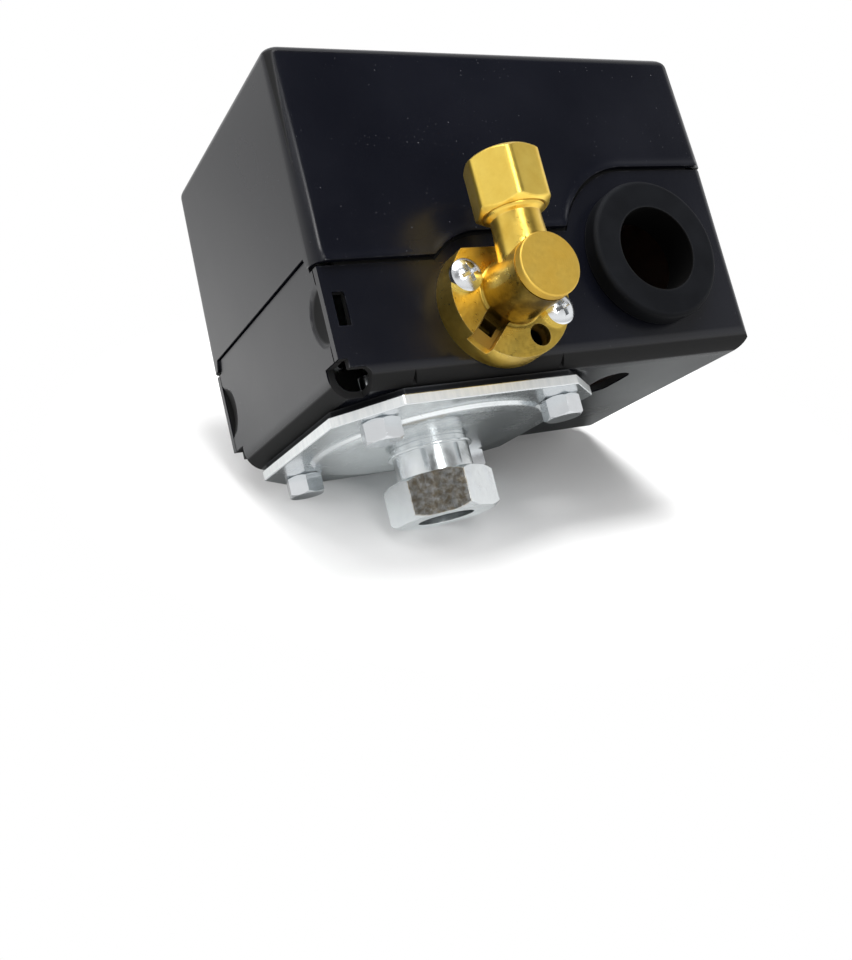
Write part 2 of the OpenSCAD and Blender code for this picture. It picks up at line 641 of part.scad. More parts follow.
// The outlet's own frame: z up along the outlet's axis, zero at the valve's axis
module at_outlet() translate([0, 0, outlet_y]) rotate([-90, 0, 0]) children();

boss_r = 5.95;
plug_t = 2;
chamber_r = 3.2;
chamber_z = 8;
flat_top = 9;           // the disc's flat, above the valve's axis
neck_r = 4.5;
thread_r = 5.5;
neck_top = 18.2;        // top of the outlet's thread, above the valve's axis
nut_low = 12;           // the compression nut's two ends, above the valve's axis
nut_high = 22.4;
tube_r = 3.25;
seat_depth = 1.4;       // room in the nut for the sleeve's rim
screw_head_r = 3.05;
milled_w = 4.4;         // slot milled into the disc
milled_depth = 2.4;
root_r = 0.8;           // fillet where the boss meets the disc
bite = 0.06;            // how far the fillet cuts in past tangency, so that faces cross

module root_fillet() rotate_extrude() difference() {
  translate([boss_r - 1, -0.4]) square([root_r + 1, root_r + 0.2]);
  translate([boss_r + root_r - bite, root_r - bite]) circle(root_r);
}
module valve_body() color(brass) at_valve() difference() {
  union() {
    intersection() {
      cylinder(r = valve_disc_r, h = valve_disc_t);
      translate([-20, -20, 0]) cube([40, 20 + flat_top, 10]);
    }
    cylinder(r = boss_r, h = valve_reach - plug_t);
    translate([0, 0, valve_disc_t]) root_fillet();
    translate([0, 0, -sheet_t - 2]) cylinder(r = hub_hole_r - 0.2, h = sheet_t + 3);
    at_outlet() rotate_extrude() polygon([
      [0, 2], [neck_r + 0.5, 2], [neck_r + 0.25, 6], [neck_r, 9.5], [neck_r, nut_low - 1],
      [thread_r - 0.2, nut_low - 0.4], [thread_r, nut_low], [thread_r, neck_top], [0, neck_top]
    ]);
  }
  // room for the end plug, cut also into the neck's foot
  translate([0, 0, valve_reach - plug_t]) cylinder(r = boss_r - 0.02, h = plug_t + past);
  // spring chamber, pin bore, outlet passage and the seat for the sleeve
  translate([0, 0, chamber_z]) cylinder(r = chamber_r, h = valve_reach);
  translate([0, 0, -10]) cylinder(r = 1.3, h = 20);
  at_outlet() {
    cylinder(r = 1.8, h = neck_top + past);
    translate([0, 0, neck_top - 6]) cylinder(r = tube_r, h = 6 + past);
    translate([0, 0, neck_top - 2]) cylinder(r1 = tube_r, r2 = thread_r - 0.7, h = 2.01);
  }
  for (a = valve_screw_angles) rotate(a) translate([valve_screw_r, 0, -past])
    cylinder(r = screw_shank_r + 0.1, h = 10);
  rotate(-65) translate([8.9, 0, -past]) cylinder(r = 2.1, h = 10);
  // milled slot towards the lower left, with its deep end at the boss
  rotate(225) translate([boss_r - 0.6, -milled_w / 2, valve_disc_t - milled_depth])
    cube([valve_disc_r, milled_w, milled_depth + past]);
  rotate(225) translate([boss_r + 0.1, -milled_w / 3, valve_disc_t - 5])
    cube([2.5, milled_w * 2 / 3, 5]);
}
module valve_plug() color(brass) at_valve() {
  translate([0, 0, valve_reach - plug_t]) cylinder(r = boss_r - 0.06, h = plug_t);
  translate([0, 0, valve_reach - plug_t - 2]) cylinder(r = chamber_r - 0.05, h = 2.5);
}
pin_r = 1.2;
module valve_pin() color(brass) at_valve() {
  translate([0, 0, -7.9]) cylinder(r = pin_r, h = 18);
  translate([0, 0, chamber_z + 0.2]) cylinder(r = 2.6, h = 1.8);
}
module valve_spring() color(spring_grey) at_valve()
  translate([0, 0, chamber_z + 2]) coil(2.1, 0.3, valve_reach - plug_t - 2 - chamber_z - 2, 5, 6, 14);
module valve_screws() color(zinc) at_valve() for (a = valve_screw_angles)
  rotate(a) translate([valve_screw_r, 0, valve_disc_t])
    pan_screw(screw_head_r, 2.2, screw_shank_r, valve_disc_t + 3);
nut_turn = -90 - 20.8;
module compression_nut() color(brass) at_valve() at_outlet() difference() {
  translate([0, 0, nut_low]) nut_form(nut_hex, nut_high - nut_low, turn = nut_turn, chamfer = 1.1);
  translate([0, 0, nut_low - past]) cylinder(r = thread_r + 0.1, h = past + neck_top + seat_depth - nut_low);
  translate([0, 0, nut_low]) cylinder(r = tube_r, h = 20);
}
module compression_sleeve() color(brass) at_valve() at_outlet() difference() {
  union() {
    translate([0, 0, neck_top + 0.05]) cylinder(r = thread_r - 0.9, h = seat_depth - 0.1);
    translate([0, 0, neck_top - 1.8]) cylinder(r1 = tube_r + 0.1, r2 = thread_r - 0.9, h = 1.9);
  }
  translate([0, 0, neck_top - 5]) cylinder(r = tube_r, h = 10);
}

base_housing();
cover();
cover_screw();
cover_post();
grommet_front();
grommet_rear();
diaphragm();
diaphragm_flange();
port_bushing();
flange_screws();
piston();
frame_bracket();
lever();
lever_pin();
snap_spring();
range_spring();
range_seat();
range_screw();
differential_spring();
differential_seat();
differential_screw();
contact_block();
block_screws();
fixed_contacts();
terminal_clamps();
terminal_screws();
contact_carrier();
moving_contacts();
contact_springs();
ground_screws();
rocker();
rocker_pin();
valve_body();
valve_plug();
valve_pin();
valve_spring();
valve_screws();
compression_nut();
compression_sleeve();
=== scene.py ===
import json
import math
import bmesh
import bpy
from mathutils import Matrix, Vector, noise


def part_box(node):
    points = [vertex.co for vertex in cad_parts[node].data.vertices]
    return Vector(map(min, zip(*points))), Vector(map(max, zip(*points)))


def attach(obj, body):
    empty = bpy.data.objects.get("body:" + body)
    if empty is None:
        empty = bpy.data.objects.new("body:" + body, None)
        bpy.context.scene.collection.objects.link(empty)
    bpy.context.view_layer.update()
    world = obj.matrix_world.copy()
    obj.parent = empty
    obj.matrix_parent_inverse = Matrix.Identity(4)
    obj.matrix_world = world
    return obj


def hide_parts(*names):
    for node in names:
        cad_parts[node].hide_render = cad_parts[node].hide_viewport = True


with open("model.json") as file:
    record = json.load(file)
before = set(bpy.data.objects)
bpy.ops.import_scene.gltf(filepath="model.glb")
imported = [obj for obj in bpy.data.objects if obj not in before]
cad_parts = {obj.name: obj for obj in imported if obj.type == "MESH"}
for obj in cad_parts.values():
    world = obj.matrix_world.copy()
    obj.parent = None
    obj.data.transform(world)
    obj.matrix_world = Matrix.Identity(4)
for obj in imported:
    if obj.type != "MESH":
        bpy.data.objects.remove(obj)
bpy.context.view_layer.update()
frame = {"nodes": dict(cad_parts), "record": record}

MM = 0.001
scene = bpy.context.scene

# ---- where things are, from the frame -------------------------------------------------


def middle(node):
    low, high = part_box(node)
    return (low + high) / 2


# how far the valve screws' heads stand out of the disc's face
VALVE_SCREW_HEAD = 2.2 * MM
base_low, base_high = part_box("base_housing")
cover_low, cover_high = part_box("cover")
valve = middle("valve_plug")
disc_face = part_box("valve_screws")[0].y + VALVE_SCREW_HEAD
grommet = middle("grommet_front")
outlet = middle("compression_nut")

# The switch lies tipped back on the port's hexagon and the flange's rear edge.
TIP = math.radians(40.7)
UP = Vector((0, -math.sin(TIP), math.cos(TIP)))
REST_POINT = Vector((0, 9.3 * MM, 0))


# ---- node building helpers ------------------------------------------------------------

# the colour sockets of a Mix node: its two inputs and its result
MIX_A, MIX_B, MIXED = 6, 7, 2


class Nodes:
    """A node tree, and short ways to add nodes to it."""

    def __init__(self, tree):
        self.tree = tree

    def node(self, kind, **settings):
        made = self.tree.nodes.new(kind)
        for key, value in settings.items():
            setattr(made, key, value)
        return made

    def put(self, source, target):
        """Feeds a socket from another socket or from a plain value."""
        if isinstance(source, bpy.types.NodeSocket):
            self.tree.links.new(source, target)
        else:
            target.default_value = source

    def math(self, operation, a, b=0.0):
        made = self.node("ShaderNodeMath", operation=operation)
        self.put(a, made.inputs[0])
        self.put(b, made.inputs[1])
        return made.outputs[0]

    def vector_math(self, operation, a, b=None):
        made = self.node("ShaderNodeVectorMath", operation=operation)
        self.put(a, made.inputs[0])
        if b is not None:
            self.put(b, made.inputs[1])
        return made

    def dot(self, a, b):
        return self.vector_math("DOT_PRODUCT", a, b).outputs["Value"]

    def length(self, a):
        return self.vector_math("LENGTH", a).outputs["Value"]

    def ramp(self, source, low, high, to_low=0.0, to_high=1.0, **settings):
        """Carries a value over from one range to another, and holds it beyond both ends."""
        made = self.node("ShaderNodeMapRange", **settings)
        self.put(source, made.inputs["Value"])
        ends = {"From Min": low, "From Max": high, "To Min": to_low, "To Max": to_high}
        for key, value in ends.items():
            made.inputs[key].default_value = value
        return made.outputs[0]

    def mix(self, share, a, b, **settings):
        made = self.node("ShaderNodeMix", data_type="RGBA", **settings)
        self.put(share, made.inputs[0])
        self.put(a, made.inputs[MIX_A])
        self.put(b, made.inputs[MIX_B])
        return made.outputs[MIXED]


class Shader(Nodes):
    """A material with one Principled surface, patterned in its object's own coordinates."""

    def __init__(self, name, **values):
        self.material = bpy.data.materials.new(name)
        self.material.use_nodes = True
        super().__init__(self.material.node_tree)
        self.surface = self.tree.nodes["Principled BSDF"]
        for key, value in values.items():
            self.set(key.replace("_", " "), value)
        self.coords = self.node("ShaderNodeTexCoord").outputs["Object"]

    def set(self, socket, source):
        self.put(source, self.surface.inputs[socket])

    def noise(self, scale, detail=3.0, stretch=(1, 1, 1), roughness=0.5):
        place = self.node("ShaderNodeMapping")
        place.inputs["Scale"].default_value = stretch
        self.put(self.coords, place.inputs["Vector"])
        made = self.node("ShaderNodeTexNoise")
        for key, value in (("Scale", scale), ("Detail", detail), ("Roughness", roughness)):
            made.inputs[key].default_value = value
        self.put(place.outputs[0], made.inputs["Vector"])
        return made.outputs[0]

    def radius(self, centre, axis):
        """Distance from an axis through a point."""
        away = self.vector_math("SUBTRACT", self.coords, centre)
        across = [0.0 if i == axis else 1.0 for i in range(3)]
        return self.length(self.vector_math("MULTIPLY", away.outputs[0], across).outputs[0])

    def rings(self, centre, axis, scale):
        """Waves that run round an axis through a point, as a lathe tool leaves them."""
        return self.math("SINE", self.math("MULTIPLY", self.radius(centre, axis), scale))

    def place(self, axis):
        """One coordinate of the surface point."""
        split = self.node("ShaderNodeSeparateXYZ")
        self.put(self.coords, split.inputs[0])
        return split.outputs[axis]

    def normal(self):
        """The surface's own normal, before any bump."""
        return self.node("ShaderNodeNewGeometry").outputs["Normal"]

    def within(self, low, high, soft):
        """1 inside a box, falling to 0 over a soft margin outside it."""
        inside = None
        for axis in range(3):
            at = self.place(axis)
            rise = self.ramp(at, low[axis] - soft, low[axis])
            fall = self.ramp(at, high[axis], high[axis] + soft, 1.0, 0.0)
            both = self.math("MULTIPLY", rise, fall)
            inside = both if inside is None else self.math("MULTIPLY", inside, both)
        return inside

    def edges(self, radius, sharp=0.15):
        """0 on flats, rising to 1 along convex and concave edges."""
        bevel = self.node("ShaderNodeBevel", samples=4)
        bevel.inputs["Radius"].default_value = radius
        return self.ramp(self.dot(bevel.outputs[0], self.normal()), 1.0 - sharp, 1.0, 1.0, 0.0)

    def two_tone(self, pattern, span, tones, rough_span, rough):
        """Lets colour and roughness both follow one pattern."""
        self.set("Base Color", self.mix(self.ramp(pattern, *span), *tones))
        self.set("Roughness", self.ramp(pattern, *rough_span, *rough))

    def bump(self, *layers):
        """Stacks (height socket, strength, distance) layers into the surface's normal."""
        before = None
        for height, strength, distance in layers:
            made = self.node("ShaderNodeBump")
            made.inputs["Strength"].default_value = strength
            made.inputs["Distance"].default_value = distance
            self.put(height, made.inputs["Height"])
            if before is not None:
                self.put(before, made.inputs["Normal"])
            before = made.outputs[0]
        self.set("Normal", before)


# ---- materials ------------------------------------------------------------------------

BLACK_ENAMEL = (0.0020, 0.0023, 0.0042, 1)
MATT_INSIDE = (0.0022, 0.0022, 0.0024, 1)
DUST = (0.30, 0.30, 0.32, 1)
RUBBED_ENAMEL = (0.10, 0.10, 0.11, 1)
ZINC = (0.74, 0.77, 0.78, 1)
SCREW_ZINC = (0.76, 0.78, 0.80, 1)
DULL_ZINC = (0.56, 0.57, 0.56, 1)
BLUED_ZINC = (0.58, 0.63, 0.76, 1)
STAINED_ZINC = (0.34, 0.28, 0.19, 1)
SHEARED_ZINC = (0.88, 0.89, 0.88, 1)
BRASS = (0.90, 0.64, 0.13, 1)
PLUG_BRASS = (0.76, 0.52, 0.10, 1)
NUT_BRASS = (0.98, 0.72, 0.15, 1)
BRASS_EDGE_HIGHLIGHT = (1.0, 0.90, 0.55, 1)
RECESS_SHADE_BRASS = (0.22, 0.12, 0.03, 1)
SIDE_SHADE_BRASS = (0.10, 0.065, 0.012, 1)
HOLE_SHADE_BLACK = (0.006, 0.004, 0.002, 1)
RUBBER_TONES = ((0.0030, 0.0033, 0.0042, 1), (0.0060, 0.0066, 0.0080, 1))
RUBBER_RIM_HIGHLIGHT = (0.05, 0.052, 0.056, 1)
RUBBER_BORE_SHADE = (0.0012, 0.0012, 0.0012, 1)
PHENOLIC_TONES = ((0.040, 0.016, 0.009, 1), (0.070, 0.030, 0.016, 1))
WIRE_TONES = ((0.24, 0.25, 0.27, 1), (0.40, 0.41, 0.43, 1))
COPPER_TONES = ((0.80, 0.42, 0.26, 1), (0.52, 0.24, 0.13, 1))
GREEN_TONES = ((0.03, 0.20, 0.07, 1), (0.05, 0.30, 0.12, 1))


def scaled(tone, factors):
    """A colour with its red, green and blue each multiplied by a factor."""
    return tuple(c * k for c, k in zip(tone, factors)) + (1,)


def enamel(name, inside):
    """Black stoved enamel on sheet steel: faint orange peel, dust, rubbed edges, matt inside a box."""
    shine = 0.2
    s = Shader(name, IOR=1.45)
    cloudy = s.noise(45, 4)
    fine = s.noise(1600, 2)
    dust = s.ramp(s.noise(2600, 1, roughness=0.3), 0.80, 0.83)
    rubbed = s.math("MULTIPLY", s.edges(0.35 * MM), s.ramp(s.noise(700, 4), 0.52, 0.72))
    paint = s.mix(s.ramp(cloudy, 0.35, 0.7), BLACK_ENAMEL, scaled(BLACK_ENAMEL, (1.3, 1.3, 1.3)))
    paint = s.mix(s.math("MULTIPLY", dust, 0.25), paint, DUST)
    paint = s.mix(s.math("MULTIPLY", rubbed, 0.3), paint, RUBBED_ENAMEL)
    rough = s.ramp(cloudy, 0.3, 0.75, shine, shine + 0.09)
    rough = s.math("ADD", rough, s.math("MULTIPLY", dust, 0.3))
    hidden = s.within(*inside, 0.25 * MM)
    s.set("Base Color", s.mix(hidden, paint, MATT_INSIDE))
    s.set("Roughness", s.math("MAXIMUM", rough, s.math("MULTIPLY", hidden, 0.85)))
    s.bump((s.noise(420, 2), 0.05, 0.10 * MM), (fine, 0.05, 0.02 * MM))
    return s.material


def zinc(name, tone=ZINC, grain=(1, 1, 1), rough=0.24, stain=None, sheared=False):
    """Bright zinc plating, cool and faintly iridescent. stain is the direction of a stained flat and
    its distance from the frame's upright axis; sheared adds duller, streaked upright faces."""
    s = Shader(name, Metallic=1.0)
    patches = s.noise(110, 3)
    tint = s.mix(s.ramp(patches, 0.35, 0.65), tone, scaled(tone, (0.93, 0.93, 0.93)))
    tint = s.mix(s.ramp(s.noise(240, 3), 0.56, 0.80, 0.0, 0.22), tint, BLUED_ZINC)
    if stain is not None:
        facing, apothem = stain
        flat = s.ramp(s.dot(s.coords, facing), apothem - 0.25 * MM, apothem - 0.1 * MM)
        spots = s.ramp(s.noise(800, 6, roughness=0.75), 0.40, 0.60, 0.25, 0.95)
        tint = s.mix(s.math("MULTIPLY", flat, spots), tint, STAINED_ZINC)
    marks = s.noise(900, 3, stretch=grain)
    rough_now = s.ramp(s.math("ADD", patches, marks), 0.7, 1.35, rough - 0.05, rough + 0.09)
    if sheared:
        facing = s.node("ShaderNodeSeparateXYZ")
        s.put(s.normal(), facing.inputs[0])
        cut = s.ramp(s.math("ABSOLUTE", facing.outputs["Z"]), 0.15, 0.35, 1.0, 0.0)
        rough_now = s.math("MAXIMUM", rough_now, s.math("MULTIPLY", cut, 0.50))
        streaks = s.ramp(s.noise(1500, 3, stretch=(1, 1, 0.12)), 0.35, 0.65, 0.25, 0.75)
        tint = s.mix(s.math("MULTIPLY", cut, streaks), tint, SHEARED_ZINC)
    s.set("Base Color", tint)
    s.set("Roughness", rough_now)
    s.bump((marks, 0.07, 0.03 * MM), (s.noise(2800, 2), 0.04, 0.02 * MM))
    return s.material


def recess_shade(s, tint, rough, face, reach):
    """Painted shade: brass darkened to brown behind a face and to black further down, within reach of the
    valve's axis.
    """
    core = s.ramp(s.radius(valve, 1), reach, reach + 0.3 * MM, 1.0, 0.0)
    sunk = s.math("MULTIPLY", core, s.ramp(s.place(1), face + 0.5 * MM, face + 1.6 * MM))
    lost = s.math("MULTIPLY", core, s.ramp(s.place(1), face + 2.5 * MM, face + 3.2 * MM))
    tint = s.mix(s.math("MULTIPLY", sunk, 0.75), tint, RECESS_SHADE_BRASS)
    return s.mix(lost, tint, HOLE_SHADE_BLACK), s.math("MAXIMUM", rough, s.math("MULTIPLY", sunk, 0.6))


def side_shade(s, tint, patches, boss_r):
    """Painted shade: brass darkened in patches on the lower left side of the boss round the valve's axis.
    """
    toward = Vector((-0.55, 0, -0.84))
    # where the painted shade begins and where it is full, along the direction
    shade_from, full = 1.5 * MM, 5.0 * MM
    start = valve.dot(toward)
    side = s.ramp(s.dot(s.coords, toward), start + shade_from, start + full)
    boss = s.ramp(s.radius(valve, 1), boss_r, boss_r + 0.4 * MM, 1.0, 0.0)
    patchy = s.ramp(patches, 0.2, 0.6, 0.6, 1.0)
    return s.mix(s.math("MULTIPLY", s.math("MULTIPLY", side, boss), patchy), tint, SIDE_SHADE_BRASS)


def brass(name, tone=BRASS, rough=0.36, grain=(1, 1, 1), turned=None, valve_shade=False):
    """Machined brass: satin and patchy, with a painted highlight along its edges. turned is a point and
    the axis through it that tool marks run round; the last flag adds the valve body's painted shade, in
    its recesses and on its boss's lower left side."""
    s = Shader(name, Metallic=1.0)
    patches = s.noise(210, 5, roughness=0.62)
    fine = s.noise(1500, 3, stretch=grain)
    tint = s.mix(s.ramp(patches, 0.35, 0.70), tone, scaled(tone, (0.84, 0.78, 0.62)))
    # painted highlight: the brass is lightened along its edges
    tint = s.mix(s.math("MULTIPLY", s.edges(0.3 * MM, 0.3), 0.35), tint, BRASS_EDGE_HIGHLIGHT)
    rough_now = s.ramp(s.math("ADD", patches, fine), 0.7, 1.35, rough - 0.06, rough + 0.10)
    if valve_shade:
        # painted shade: the valve body's recesses behind its disc face go brown, then black, and its boss
        # darkens on the lower left
        tint, rough_now = recess_shade(s, tint, rough_now, disc_face, 10.9 * MM)
        tint = side_shade(s, tint, patches, 6.4 * MM)
    s.set("Base Color", tint)
    s.set("Roughness", rough_now)
    layers = [(fine, 0.07, 0.03 * MM), (s.noise(420, 3), 0.05, 0.05 * MM)]
    if turned is not None:
        layers.append((s.rings(*turned, 14000), 0.08, 0.02 * MM))
    s.bump(*layers)
    return s.material


def rubber(name, bore):
    """Moulded rubber: dull and pebbled, with a painted highlight greying its rims and painted shade black
    down the front grommet's bore.
    """
    s = Shader(name, Specular_IOR_Level=0.07)
    bloom = s.noise(120, 4)
    tone = s.mix(s.ramp(bloom, 0.4, 0.75), *RUBBER_TONES)
    # painted highlight: the rims are greyed
    tone = s.mix(s.math("MULTIPLY", s.edges(0.6 * MM), 0.7), tone, RUBBER_RIM_HIGHLIGHT)
    # painted shade: the rubber goes black down the bore
    bore_shade = s.ramp(s.radius(grommet, 1), bore + 0.05 * MM, bore + 0.25 * MM, 1.0, 0.0)
    rough = s.ramp(bloom, 0.3, 0.7, 0.55, 0.70)
    s.set("Base Color", s.mix(bore_shade, tone, RUBBER_BORE_SHADE))
    s.set("Roughness", s.math("MAXIMUM", rough, s.math("MULTIPLY", bore_shade, 0.9)))
    s.bump((s.noise(1900, 3), 0.15, 0.03 * MM), (s.noise(160, 2), 0.10, 0.12 * MM))
    return s.material


def moulding(name):
    """Brown phenolic moulding with faint flow marks."""
    s = Shader(name, IOR=1.55)
    flow = s.noise(90, 6, stretch=(1, 1, 2.5), roughness=0.65)
    s.two_tone(flow, (0.35, 0.7), PHENOLIC_TONES, (0.3, 0.75), (0.28, 0.44))
    s.bump((s.noise(700, 3), 0.08, 0.05 * MM))
    return s.material


def wire(name):
    """Oil-tempered spring wire, faintly marked from drawing."""
    s = Shader(name, Metallic=1.0)
    marks = s.noise(1400, 4)
    s.two_tone(marks, (0.4, 0.65), WIRE_TONES, (0.3, 0.7), (0.24, 0.42))
    s.bump((marks, 0.1, 0.02 * MM))
    return s.material


def copper(name):
    """Punched copper strip, toned by handling."""
    s = Shader(name, Metallic=1.0)
    s.two_tone(s.noise(260, 5), (0.35, 0.7), COPPER_TONES, (0.3, 0.7), (0.2, 0.42))
    s.bump((s.noise(1600, 2), 0.08, 0.02 * MM))
    return s.material


def green_steel(name):
    """Green passivated earth screws."""
    s = Shader(name, Metallic=0.7)
    s.two_tone(s.noise(420, 4), (0.35, 0.7), GREEN_TONES, (0.3, 0.7), (0.3, 0.48))
    s.bump((s.noise(1500, 2), 0.08, 0.02 * MM))
    return s.material


# The port hexagon's size across flats, and the way its stained flat faces.
PORT_HEX = 19 * MM
STAINED_FLAT = Vector((-0.5, -math.sin(math.radians(60)), 0))
# How thick the rubber is round the front grommet's bore, from the bore to its widest rim.
RUBBER_WALL = 5.75 * MM
grommet_low, grommet_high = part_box("grommet_front")
grommet_bore = (grommet_high.x - grommet_low.x) / 2 - RUBBER_WALL
# Where the enamel is matt: the switch's outer box, drawn in to leave out the outer faces of its
# sheet, and kept under the cover's top.
COVER_TOP = 1.1 * MM
DRAWN_IN = Vector((0.45, 0.45, 0.45)) * MM
box_high = Vector((base_high.x, base_high.y, cover_high.z - COVER_TOP))
box_inside = (base_low + DRAWN_IN, box_high - DRAWN_IN)

looks = {
    "black_steel": enamel("black_enamel", box_inside),
    "zinc_flange": zinc("flange_zinc", grain=(1, 6, 1), rough=0.22, sheared=True),
    "zinc_port": zinc("port_zinc", rough=0.20, stain=(STAINED_FLAT, PORT_HEX / 2)),
    "zinc_screws": zinc("screw_zinc", tone=SCREW_ZINC, rough=0.19),
    "zinc_inside": zinc("inner_zinc", tone=DULL_ZINC, grain=(5, 1, 1), rough=0.32),
    "spring_steel": wire("spring_wire"),
    "rubber": rubber("black_rubber", grommet_bore),
    "brown_moulding": moulding("brown_phenolic"),
    "copper": copper("contact_copper"),
    "brass_screws": brass("screw_brass", rough=0.24),
    "green_screws": green_steel("green_steel"),
    "brass_body": brass("valve_brass", rough=0.31, turned=(valve, 1), valve_shade=True),
    "brass_plug": brass("plug_brass", tone=PLUG_BRASS, rough=0.50, turned=(valve, 1)),
    "brass_nut": brass("nut_brass", tone=NUT_BRASS, rough=0.34, grain=(1, 1, 9)),
    "brass_sleeve": brass("sleeve_brass", turned=(outlet, 2)),
}
slot_of = {part["node"]: part["material_slot"] for part in frame["record"]["subparts"]}
body_of = {n: b for b, nodes in frame["record"]["behaviour"]["bodies"].items() for n in nodes}

# ---- pieces ---------------------------------------------------------------------------


def dress(obj, node):
    """Gives a new piece its node's body, slot and material, in the node's place."""
    slot = slot_of[node]
    obj.data.materials.clear()
    obj.data.materials.append(looks[slot])
    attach(obj, body_of[node])
    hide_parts(node)


def new_mesh(name, bm, smooth=True):
    data = bpy.data.meshes.new(name)
    bm.to_mesh(data)
    bm.free()
    for face in data.polygons:
        face.use_smooth = smooth
    obj = bpy.data.objects.new(name, data)
    scene.collection.objects.link(obj)
    return obj


def join_rings(bm, ring, after):
    """Faces between two closed rings of as many points."""
    for i in range(len(ring)):
        j = (i + 1) % len(ring)
        bm.faces.new((ring[i], ring[j], after[j], after[i]))


def round_edges(obj, width, segments, angle):
    """Bevels the edges that turn by more than an angle in degrees."""
    bevel = obj.modifiers.new("edges", "BEVEL")
    bevel.width = width
    bevel.segments = segments
    bevel.limit_method = "ANGLE"
    bevel.angle_limit = math.radians(angle)
    return bevel


def weighted_normals(obj):
    """Lets the large faces rule the shading, so flats stay flat beside rounded edges."""
    weighted = obj.modifiers.new("shading", "WEIGHTED_NORMAL")
    weighted.weight = 100
    weighted.keep_sharp = True


def broken_edges(node, width):
    """A copy of a CAD node whose sharp edges are rounded, as real parts' edges are."""
    bm = bmesh.new()
    bm.from_mesh(frame["nodes"][node].data)
    bmesh.ops.remove_doubles(bm, verts=bm.verts, dist=0.001 * MM)
    bmesh.ops.dissolve_limit(bm, angle_limit=math.radians(0.4), verts=bm.verts, edges=bm.edges)
    bmesh.ops.recalc_face_normals(bm, faces=bm.faces)
    obj = new_mesh(node + ".edged", bm)
    bevel = round_edges(obj, width, segments=3, angle=28)
    bevel.use_clamp_overlap = True
    bevel.miter_outer = "MITER_ARC"
    weighted_normals(obj)
    dress(obj, node)


# how wide each node's rounded edges are, in millimetres
EDGED = {
    "base_housing": 0.22, "diaphragm_flange": 0.25, "port_bushing": 0.45, "flange_screws": 0.18,
    "valve_body": 0.18, "valve_plug": 0.30, "valve_screws": 0.10,
    "cover_screw": 0.25, "frame_bracket": 0.15, "lever": 0.15, "contact_block": 0.30,
    "contact_carrier": 0.20, "grommet_front": 0.25, "grommet_rear": 0.25,
}
for node_name, edge in EDGED.items():
    broken_edges(node_name, edge * MM)


def nut_piece():
    """The compression nut with broad rounded corners; its other measures are read from the CAD nut."""
    corner_r = 2.0 * MM
    chamfer = 1.1 * MM
    past_bore = 5.8 * MM
    flat_steps, corner_steps, chamfer_steps = 4, 5, 8
    low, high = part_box("compression_nut")
    mid = (low + high) / 2
    mesh = frame["nodes"]["compression_nut"].data

    def from_axis(face):
        """How far a face's plane is from the nut's axis, where the face looks outward."""
        return (face.center - mid).to_2d().dot(face.normal.to_2d())

    def radii(level):
        at_level = [v.co for v in mesh.vertices if abs(v.co.z - level) < 0.01 * MM]
        return sorted((co - mid).to_2d().length for co in at_level)

    outer = [f for f in mesh.polygons if from_axis(f) > past_bore]
    flat = max(outer, key=lambda f: f.area)
    turn = math.atan2(flat.normal.y, flat.normal.x)
    across = from_axis(flat)
    end_r, mouth_r, skirt_r = radii(high.z)[-1], radii(high.z)[0], radii(low.z)[0]
    step_z = min(v.co.z for v in mesh.vertices if (v.co - mid).to_2d().length < mouth_r + 0.02 * MM)
    sixth = math.radians(60)
    slope = (across / math.cos(sixth / 2) + 0.1 * MM - end_r) / chamfer
    core = across - corner_r
    tangent = core * math.tan(sixth / 2)
    limit = math.atan(tangent / across)

    def reach(offset):
        """Distance of the rounded hexagon from its axis, at an angle from the middle of a flat."""
        if abs(offset) <= limit:
            return across / math.cos(offset)
        toward = core * math.cos(offset) + tangent * math.sin(abs(offset))
        return toward + math.sqrt(toward ** 2 - core ** 2 - tangent ** 2 + corner_r ** 2)

    half = [limit * k / flat_steps for k in range(flat_steps + 1)]
    half += [limit + (sixth / 2 - limit) * k / corner_steps for k in range(1, corner_steps + 1)]
    offsets = sorted([-o for o in half[1:-1]] + half)
    around = [(turn + side * sixth + o, o) for side in range(6) for o in offsets]
    rise = high.z - low.z
    depths = [chamfer * k / chamfer_steps for k in range(chamfer_steps + 1)]
    bm = bmesh.new()

    def ring(level, radius_of):
        """Points round the axis at a level, as far out as a function of the offset says."""
        points = []
        for angle, offset in around:
            r = radius_of(offset)
            points.append(bm.verts.new((mid.x + r * math.cos(angle), mid.y + r * math.sin(angle), level)))
        return points

    rows = []
    for z in depths + [rise - d for d in reversed(depths)]:
        cone = end_r + slope * min(z, rise - z)
        rows.append(ring(low.z + z, lambda offset: min(reach(offset), cone)))
    for level, r in ((high.z, mouth_r), (step_z, mouth_r), (step_z, skirt_r), (low.z, skirt_r)):
        rows.append(ring(level, lambda offset: r))
    for row, after in zip(rows, rows[1:] + rows[:1]):
        join_rings(bm, row, after)
    bmesh.ops.recalc_face_normals(bm, faces=bm.faces)
    obj = new_mesh("compression_nut.rounded", bm)
    obj.data.set_sharp_from_angle(angle=math.radians(34))
    weighted_normals(obj)
    dress(obj, "compression_nut")


